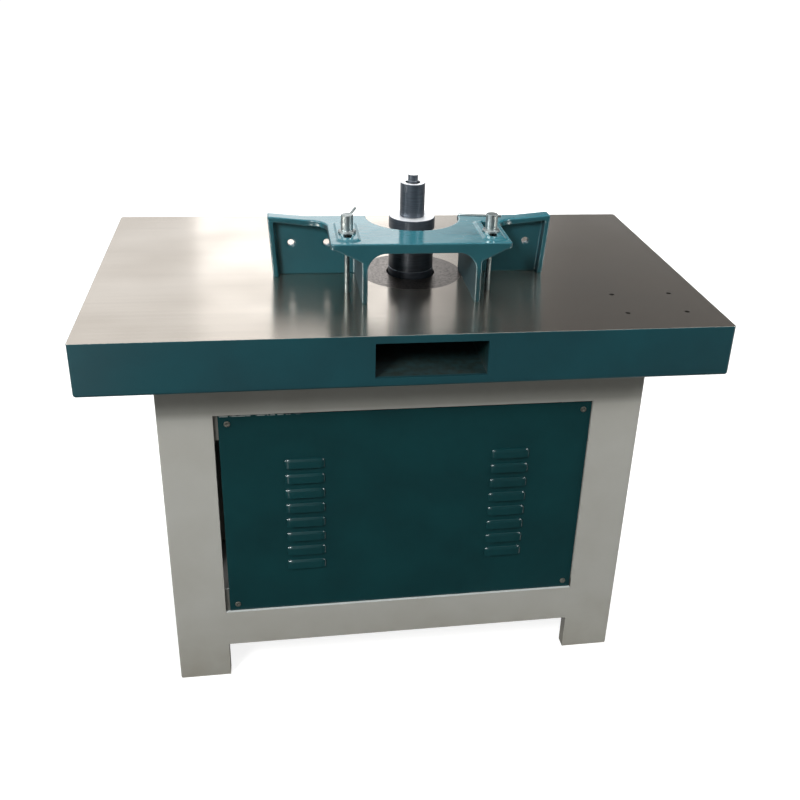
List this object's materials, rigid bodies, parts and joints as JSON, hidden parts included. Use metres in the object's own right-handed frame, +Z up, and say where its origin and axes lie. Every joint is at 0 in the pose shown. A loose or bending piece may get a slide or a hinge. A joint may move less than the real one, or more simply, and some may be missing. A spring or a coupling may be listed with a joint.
{
  "type": "spindle moulder",
  "caption": "Floor-standing spindle moulder: cast table with a cast fence round a lifting vertical spindle, on a folded sheet cabinet with a louvred panel and a handwheel.",
  "frame": {"origin": "on the floor under the middle of the table", "axes": "+X along the table, to the right in the picture; +Y to the operator, away from the camera; +Z up"},
  "size_m": [1.2, 0.72, 1.054],
  "materials": {
    "ground_iron": "ground top, painted apron",
    "ring_iron": "turned, dulled",
    "teal_casting": "gloss paint on cast iron",
    "dark_teal_sheet": "satin paint on steel sheet",
    "grey_sheet": "satin paint on steel sheet",
    "zinc_steel": "zinc plated",
    "blued_steel": "blued",
    "bright_steel": "ground",
    "raw_iron": "primed",
    "bronze": "machined",
    "motor_alloy": "painted",
    "lamination": "stacked sheet",
    "cover_sheet": "satin",
    "fan_plastic": "moulded",
    "belt_rubber": "matte",
    "black_iron": "gloss paint on cast iron",
    "black_plastic": "polished",
    "grey_plastic": "moulded",
    "green_plastic": "moulded",
    "red_plastic": "moulded"
  },
  "bodies": {
    "base": {"table": "ground_iron", "table_ring": "ring_iron", "fence_studs": "zinc_steel", "rear_sheet": "grey_sheet", "front_sheet": "grey_sheet", "left_side_sheet": "grey_sheet", "right_side_sheet": "grey_sheet", "rear_panel": "dark_teal_sheet", "panel_screws": "zinc_steel", "table_bolts": "zinc_steel", "slideway": "raw_iron", "slideway_bolts": "zinc_steel", "screw_bushes": "bronze", "shaft_flange": "raw_iron", "lock_bush": "raw_iron", "switch_box": "grey_plastic"},
    "carriage": {"carriage": "raw_iron", "gib_strip": "bright_steel", "lift_nut": "bronze", "spindle_housing": "raw_iron", "spindle_bearings": "bright_steel", "bearing_caps": "raw_iron", "carriage_bolts": "zinc_steel", "motor_bracket": "raw_iron", "motor_frame": "motor_alloy", "motor_flange": "motor_alloy", "motor_end_shield": "motor_alloy", "fan_cover": "cover_sheet", "stator_core": "lamination", "terminal_box": "motor_alloy", "motor_bolts": "zinc_steel", "drive_belts": "belt_rubber"},
    "spindle": {"spindle_shaft": "bright_steel", "spindle_pulley": "raw_iron", "pulley_nut": "zinc_steel", "base_flange": "blued_steel", "lower_collar": "blued_steel", "spacer_rings": "blued_steel", "upper_flange": "blued_steel", "upper_sleeve": "blued_steel", "top_bolt": "blued_steel"},
    "rotor": {"motor_shaft": "bright_steel", "rotor_core": "lamination", "motor_pulley": "raw_iron", "motor_fan": "fan_plastic"},
    "lift_screw": {"lift_screw": "bright_steel", "screw_gear": "bright_steel"},
    "handwheel": {"handwheel_shaft": "bright_steel", "shaft_pinion": "bright_steel", "handwheel": "black_iron", "handle_pin": "bright_steel"},
    "crank_handle": {"crank_handle": "black_plastic"},
    "lock": {"lock_screw": "bright_steel", "lock_lever": "black_iron"},
    "fence": {"fence_casting": "teal_casting"},
    "clamp_nut_left": {"clamp_nut_left": "zinc_steel", "clamp_lever": "zinc_steel"},
    "clamp_nut_right": {"clamp_nut_right": "zinc_steel"},
    "start_button": {"start_button": "green_plastic"},
    "stop_button": {"stop_button": "red_plastic"}
  },
  "joints": [
    {"name": "handwheel_turn", "type": "hinge", "parent": "base", "child": "handwheel", "pos_m": [0.025, 0.2, 0.33], "axis": [0, -1, 0], "range_deg": [-720, 2880]},
    {"name": "spindle_lift", "type": "slide", "parent": "base", "child": "carriage", "axis": [0, 0, 1], "range_m": [-0.02, 0.08]},
    {"name": "lift_screw_turn", "type": "hinge", "parent": "base", "child": "lift_screw", "pos_m": [0.025, 0.112, 0.5], "axis": [0, 0, 1], "range_deg": [-720, 2880]},
    {"name": "crank_handle_spin", "type": "hinge", "parent": "handwheel", "child": "crank_handle", "pos_m": [0.0705, 0.31, 0.40881], "axis": [0, 1, 0], "continuous": true},
    {"name": "motor_spin", "type": "hinge", "parent": "carriage", "child": "rotor", "pos_m": [-0.245, -0.034, 0.5], "axis": [0, 0, 1], "continuous": true},
    {"name": "spindle_spin", "type": "hinge", "parent": "carriage", "child": "spindle", "pos_m": [0.025, -0.034, 0.6], "axis": [0, 0, 1], "continuous": true},
    {"name": "lock_turn", "type": "hinge", "parent": "base", "child": "lock", "pos_m": [0.11, 0.2, 0.56], "axis": [0, -1, 0], "range_deg": [-90, 54]},
    {"name": "fence_slide", "type": "slide", "parent": "base", "child": "fence", "axis": [0, 1, 0], "range_m": [-0.058, 0.022]},
    {"name": "clamp_nut_left_turn", "type": "hinge", "parent": "base", "child": "clamp_nut_left", "pos_m": [-0.1145, -0.146, 0.98], "axis": [0, 0, 1], "range_deg": [-90, 180]},
    {"name": "clamp_nut_right_turn", "type": "hinge", "parent": "base", "child": "clamp_nut_right", "pos_m": [0.1645, -0.146, 0.98], "axis": [0, 0, 1], "range_deg": [-90, 180]},
    {"name": "start_button_press", "type": "slide", "parent": "base", "child": "start_button", "axis": [0, -1, 0], "range_m": [0, 0.004], "stiffness_N_per_m": 400},
    {"name": "stop_button_press", "type": "slide", "parent": "base", "child": "stop_button", "axis": [0, -1, 0], "range_m": [0, 0.004], "stiffness_N_per_m": 400}
  ],
  "couplings": [
    {"joint": "spindle_lift", "follows": "handwheel_turn", "m_per_rad": 0.0015915},
    {"joint": "lift_screw_turn", "follows": "handwheel_turn", "ratio": 1},
    {"joint": "spindle_spin", "follows": "motor_spin", "ratio": 2}
  ]
}
